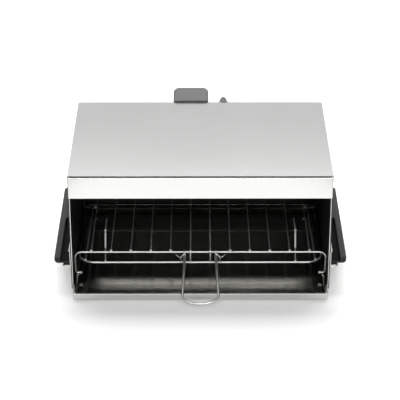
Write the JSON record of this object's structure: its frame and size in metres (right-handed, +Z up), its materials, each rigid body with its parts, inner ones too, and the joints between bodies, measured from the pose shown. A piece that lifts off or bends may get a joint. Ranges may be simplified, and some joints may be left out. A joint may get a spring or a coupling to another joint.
{
  "type": "electric fish roaster",
  "caption": "Open-front sheet steel roaster with heating elements under the hood, a slide-out drip tray, a wire rack with a swinging wire handle, and side grips.",
  "frame": {"origin": "on the table, under the middle of the whole object's bounding box (the hood's own middle lies on it too)", "axes": "+Z up, -Y towards the open front where the tray comes out, +X to the right as seen from the front"},
  "size_m": [0.4536, 0.3785, 0.203],
  "materials": {
    "cover_steel": "satin stainless sheet",
    "band_steel": "polished stainless sheet",
    "side_steel": "satin stainless sheet",
    "cavity_steel": "dark glossy steel",
    "base_steel": "plain stainless sheet",
    "rear_steel": "satin stainless sheet",
    "foot_rubber": "matt black rubber",
    "screw_steel": "bright plated steel",
    "bracket_steel": "plain stainless sheet",
    "reflector_metal": "bright rolled aluminium",
    "heater_sheath": "heat-tinted stainless tube",
    "white_ceramic": "matt white ceramic",
    "pin_brass": "plain brass",
    "lead_sleeve": "braided glass sleeve",
    "grey_plastic": "matt grey moulding",
    "black_plastic": "matt black moulding",
    "strip_steel": "plain stainless strip",
    "tray_steel": "bright stainless sheet",
    "rack_wire": "bright plated wire",
    "handle_wire": "bright plated wire"
  },
  "bodies": {
    "housing": {"top_cover": "cover_steel", "front_band": "band_steel", "left_side_panel": "side_steel", "right_side_panel": "side_steel", "left_inner_wall": "cavity_steel", "right_inner_wall": "cavity_steel", "inner_rear_wall": "cavity_steel", "cavity_roof": "cavity_steel", "base_panel": "base_steel", "rear_panel": "rear_steel", "feet": "foot_rubber", "housing_screws": "screw_steel", "left_heater_bracket": "bracket_steel", "right_heater_bracket": "bracket_steel", "heat_reflector": "reflector_metal", "front_heater": "heater_sheath", "rear_heater": "heater_sheath", "heater_beads": "white_ceramic", "heater_pins": "pin_brass", "heater_link": "lead_sleeve", "feed_leads": "lead_sleeve", "lead_bush": "white_ceramic", "thermal_cutout": "screw_steel", "terminal_box": "grey_plastic", "terminal_box_cap": "grey_plastic", "cap_screws": "screw_steel", "terminal_block": "white_ceramic", "cord_gland": "grey_plastic", "gland_nut": "grey_plastic", "left_grip": "black_plastic", "right_grip": "black_plastic", "left_grip_strip": "strip_steel", "right_grip_strip": "strip_steel", "grip_rivets": "screw_steel", "grip_screws": "screw_steel"},
    "tray": {"drip_tray": "tray_steel"},
    "rack": {"front_gate": "rack_wire", "rear_gate": "rack_wire", "lower_bar": "rack_wire", "side_rods": "rack_wire", "grid_wires": "rack_wire", "tie_wires": "rack_wire", "rack_stays": "rack_wire"},
    "handle": {"rack_handle": "handle_wire"}
  },
  "joints": [
    {"name": "tray_slide", "type": "slide", "parent": "housing", "child": "tray", "axis": [0, -1, 0], "range_m": [0, 0.2]},
    {"name": "rack_lift", "type": "slide", "parent": "tray", "child": "rack", "axis": [0, 0, 1], "range_m": [0, 0.03]},
    {"name": "handle_swing", "type": "hinge", "parent": "rack", "child": "handle", "pos_m": [0, -0.106, 0.0531], "axis": [-1, 0, 0], "range_deg": [0, 75]}
  ]
}
